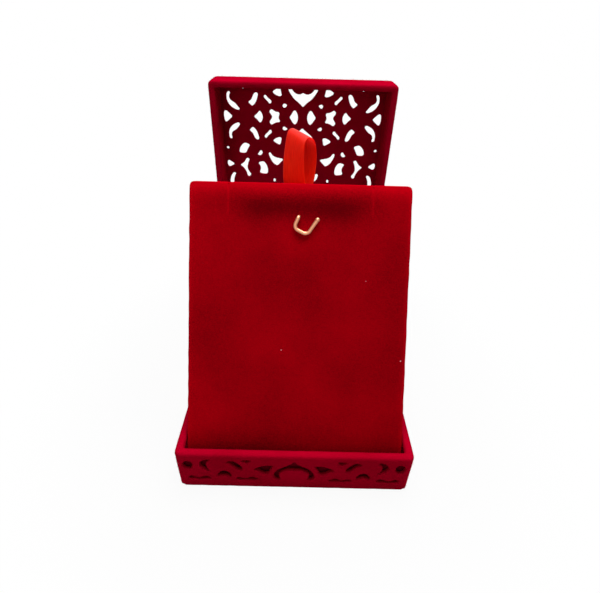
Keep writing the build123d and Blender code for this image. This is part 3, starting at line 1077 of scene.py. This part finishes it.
@dataclass(frozen=True)
class Studio:
    """A white floor, soft lamps and the camera."""

    camera_mm: tuple[float, float, float] = (-0.39, -110.90, 126.11)
    yaw_deg: float = 0.293
    pitch_deg: float = 30.914
    roll_deg: float = -1.594
    lens_mm: float = 23.17
    sensor_mm: float = 36.0
    shift_y: float = -0.0765
    clip_start_m: float = 0.005
    floor_m: float = 30.0
    floor_gap_mm: float = 0.15
    # Near the box the camera sees this share of white, and all white past the fade.
    floor_white: float = 0.93
    fade_m: tuple[float, float] = (0.055, 0.11)
    white: str = "FFFFFF"
    # What the floor gives back to the box, and the light from all round it.
    bounce: str = "B8B8B8"
    ambient: float = 0.12
    lamps: tuple[Lamp, ...] = (Lamp("overhead", (0.05, 0.05, 0.55), 0.45, 5.6),
                               Lamp("front", (-0.15, -0.6, 0.35), 0.5, 0.7))

    def floor_material(self) -> bpy.types.Material:
        """Make a white floor material that keeps a soft shadow near the box."""
        graph = Surface("white_floor")
        graph.fill(graph.shader, Base_Color=linear(self.bounce), Roughness=1.0,
                   Specular_IOR_Level=0.0)
        glow = graph.add("Emission", Color=linear(self.white), Strength=1.0)
        place = graph.add("TexCoord").outputs["Object"]
        away = graph.add("VectorMath", {"operation": "LENGTH"}, Vector=place).outputs["Value"]
        fade = graph.add("MapRange", {"interpolation_type": "SMOOTHSTEP"}, Value=away,
                         From_Min=self.fade_m[0], From_Max=self.fade_m[1],
                         To_Min=self.floor_white, To_Max=1.0)
        mix = graph.add("MixShader", Fac=self.seen_rays(graph, fade.outputs[0]),
                        _1=graph.shader.outputs[0], _2=glow.outputs[0])
        graph.fill(graph.tree.nodes["Material Output"], Surface=mix.outputs[0])
        return graph.material

    @staticmethod
    def seen_rays(graph: Graph, fraction: bpy.types.NodeSocket) -> bpy.types.NodeSocket:
        """Return fraction for camera, glossy and transmission rays, and 0 for the others."""
        rays = graph.add("LightPath").outputs
        glossy = graph.add("Math", {"operation": "MAXIMUM"}, _0=rays["Is Glossy Ray"],
                           _1=rays["Is Transmission Ray"])
        seen = graph.add("Math", {"operation": "MAXIMUM"}, _0=rays["Is Camera Ray"],
                         _1=glossy.outputs[0])
        part = graph.add("Math", {"operation": "MULTIPLY"}, _0=seen.outputs[0], _1=fraction)
        return part.outputs[0]

    def floor(self) -> None:
        """Lay the floor just under the box."""
        half = self.floor_m / 2
        height = CAD_BOX[0][2] - self.floor_gap_mm * MM
        corners = [Vector((x, y, height)) for x, y in
                   ((-half, -half), (half, -half), (half, half), (-half, half))]
        floor = new_piece("floor", mesh_from("floor", corners, [[0, 1, 2, 3]]))
        floor.data.materials.append(self.floor_material())

    def world(self) -> None:
        """Light the box evenly and show white behind it."""
        world = bpy.data.worlds.new("studio")
        bpy.context.scene.world = world
        world.use_nodes = True
        graph = Graph(world.node_tree)
        rays = graph.add("LightPath").outputs
        seen = graph.add("Math", {"operation": "MAXIMUM"}, _0=rays["Is Camera Ray"],
                         _1=rays["Is Glossy Ray"])
        level = graph.add("MapRange", Value=seen.outputs[0], To_Min=self.ambient, To_Max=1.0)
        graph.fill(graph.tree.nodes["Background"], Strength=level.outputs[0],
                   Color=linear(self.white))

    def camera(self) -> None:
        """Set the camera at its place and angles."""
        yaw, pitch, roll = (math.radians(a) for a in (self.yaw_deg, self.pitch_deg, self.roll_deg))
        ahead = Vector((math.sin(yaw) * math.cos(pitch), math.cos(yaw) * math.cos(pitch),
                        -math.sin(pitch)))
        right = Vector((math.cos(yaw), -math.sin(yaw), 0))
        down = ahead.cross(right)
        turned_right = math.cos(roll) * right + math.sin(roll) * down
        turned_down = -math.sin(roll) * right + math.cos(roll) * down
        data = bpy.data.cameras.new("camera")
        data.lens = self.lens_mm
        data.sensor_width = self.sensor_mm
        data.shift_y = self.shift_y
        data.clip_start = self.clip_start_m
        camera = bpy.data.objects.new("camera", data)
        axes = Matrix((turned_right, -turned_down, -ahead)).transposed().to_4x4()
        camera.matrix_world = Matrix.Translation(Vector(self.camera_mm) * MM) @ axes
        bpy.context.scene.collection.objects.link(camera)
        bpy.context.scene.camera = camera

    def build(self) -> None:
        """Build the whole studio."""
        self.floor()
        self.world()
        for lamp in self.lamps:
            lamp.build()
        self.camera()
        bpy.context.scene.view_settings.view_transform = "Standard"


def main() -> None:
    """Build the box, the card and the studio."""
    logging.basicConfig(level=logging.INFO, format="%(message)s")
    Box().build()
    DisplayCard().build()
    Studio().build()


if __name__ == "__main__":
    main()
